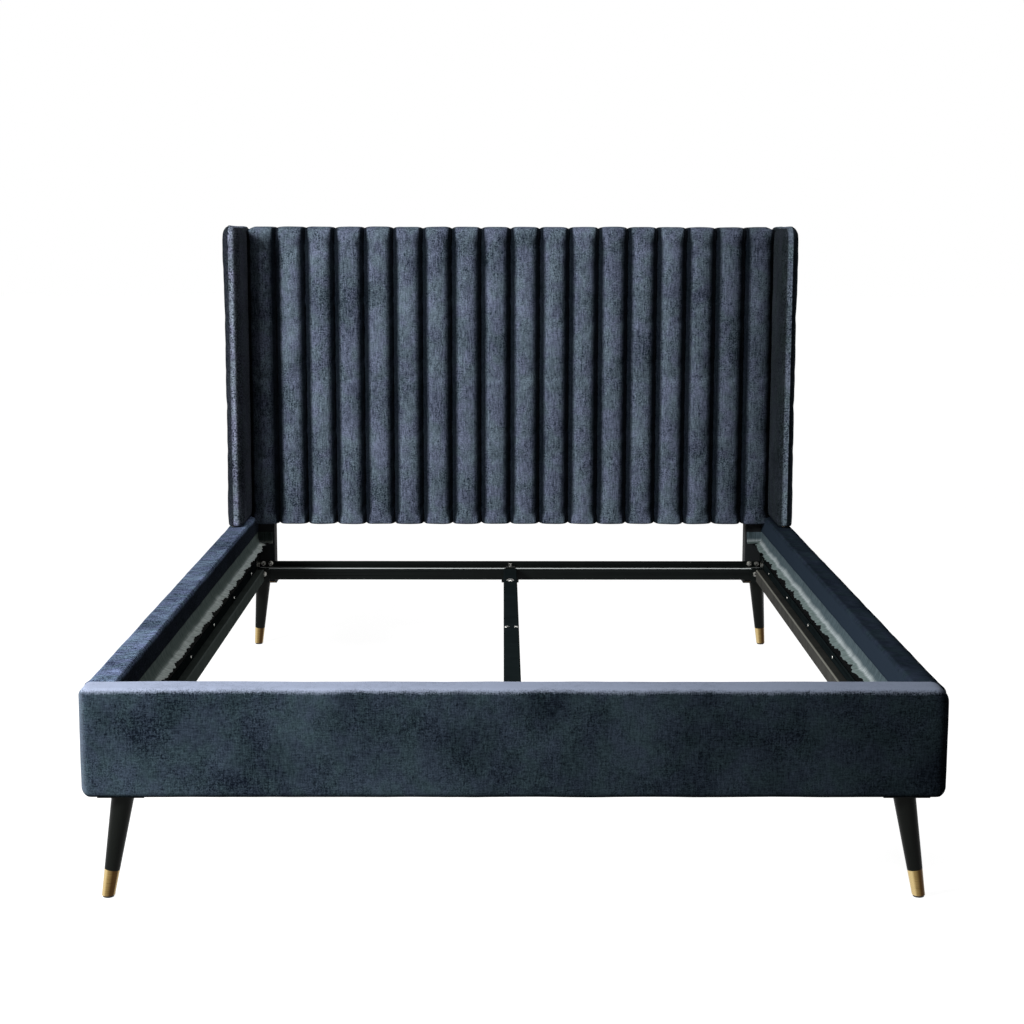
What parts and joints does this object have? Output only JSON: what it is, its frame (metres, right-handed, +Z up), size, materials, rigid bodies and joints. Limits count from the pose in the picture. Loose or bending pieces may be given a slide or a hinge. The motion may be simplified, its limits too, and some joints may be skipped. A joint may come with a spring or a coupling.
{
  "type": "upholstered wing bed frame",
  "caption": "Low upholstered bed frame with an upright-channelled wing headboard, padded side rails and footboard, an open steel sub-frame and splayed tapered legs with metal ferrules.",
  "frame": {"origin": "on the floor, under the middle of the bed's outer box", "axes": "+Y from the footboard to the headboard, +Z up, +X to the right of someone who stands at the footboard and faces the headboard"},
  "size_m": [1.66, 2.265, 1.3],
  "materials": {
    "velvet": "dark slate-blue crushed velvet",
    "lining": "grey non-woven lining cloth",
    "black_cloth": "black woven cloth",
    "timber": "planed pine, bare",
    "black_board": "plank painted matt black",
    "plywood": "plywood, bare",
    "steel": "satin black powder coat",
    "fastener": "zinc-plated steel",
    "leg_wood": "black satin lacquer",
    "brass": "satin brass plate",
    "plastic": "black moulded plastic"
  },
  "bodies": {
    "bed": {"channel_pad": "velvet", "headboard_back_cover": "velvet", "footboard_cover": "velvet", "wing_cover_right": "velvet", "wing_cover_left": "velvet", "side_rail_cover_right": "velvet", "side_rail_cover_left": "velvet", "footboard_lining": "lining", "rail_lining_right": "lining", "rail_lining_left": "lining", "post_sleeve_right": "black_cloth", "post_sleeve_left": "black_cloth", "headboard_cross_rails": "timber", "headboard_post_right": "timber", "headboard_post_left": "timber", "wing_batten_right": "timber", "wing_batten_left": "timber", "footboard": "black_board", "side_rail_right": "black_board", "side_rail_left": "black_board", "headboard_panel": "plywood", "wing_board_right": "plywood", "wing_board_left": "plywood", "rear_cross_bar": "steel", "centre_beam": "steel", "beam_bracket_rear": "steel", "beam_bracket_front": "steel", "support_bar_right": "steel", "support_bar_left": "steel", "slat_ledge_right": "steel", "slat_ledge_left": "steel", "corner_bracket_right": "steel", "corner_bracket_left": "steel", "cross_bar_bracket_right": "steel", "cross_bar_bracket_left": "steel", "centre_leg_front": "steel", "centre_leg_rear": "steel", "leg_plates": "steel", "frame_bolts": "fastener", "wood_screws": "fastener", "centre_leg_bolts": "fastener", "beam_bolt": "fastener", "hanger_bolts": "fastener", "leg_front_right": "leg_wood", "leg_front_left": "leg_wood", "leg_rear_right": "leg_wood", "leg_rear_left": "leg_wood", "ferrule_front_right": "brass", "ferrule_front_left": "brass", "ferrule_rear_right": "brass", "ferrule_rear_left": "brass", "glide_front_right": "plastic", "glide_front_left": "plastic", "glide_rear_right": "plastic", "glide_rear_left": "plastic"},
    "levelling_foot_front": {"leveller_foot_front": "plastic"},
    "levelling_stud_front": {"leveller_stud_front": "fastener"},
    "levelling_foot_rear": {"leveller_foot_rear": "plastic"},
    "levelling_stud_rear": {"leveller_stud_rear": "fastener"}
  },
  "joints": [
    {"name": "foot_height_front", "type": "slide", "parent": "bed", "child": "levelling_foot_front", "axis": [0, 0, 1], "range_m": [-0.012, 0.012]},
    {"name": "stud_turn_front", "type": "hinge", "parent": "levelling_foot_front", "child": "levelling_stud_front", "pos_m": [0, -0.4325, 0.05], "axis": [0, 0, 1], "range_deg": [-2900, 2900]},
    {"name": "foot_height_rear", "type": "slide", "parent": "bed", "child": "levelling_foot_rear", "axis": [0, 0, 1], "range_m": [-0.012, 0.012]},
    {"name": "stud_turn_rear", "type": "hinge", "parent": "levelling_foot_rear", "child": "levelling_stud_rear", "pos_m": [0, 0.1675, 0.05], "axis": [0, 0, 1], "range_deg": [-2900, 2900]}
  ],
  "couplings": [
    {"joint": "stud_turn_front", "follows": "foot_height_front", "rad_per_m": 4188.8},
    {"joint": "stud_turn_rear", "follows": "foot_height_rear", "rad_per_m": 4188.8}
  ]
}
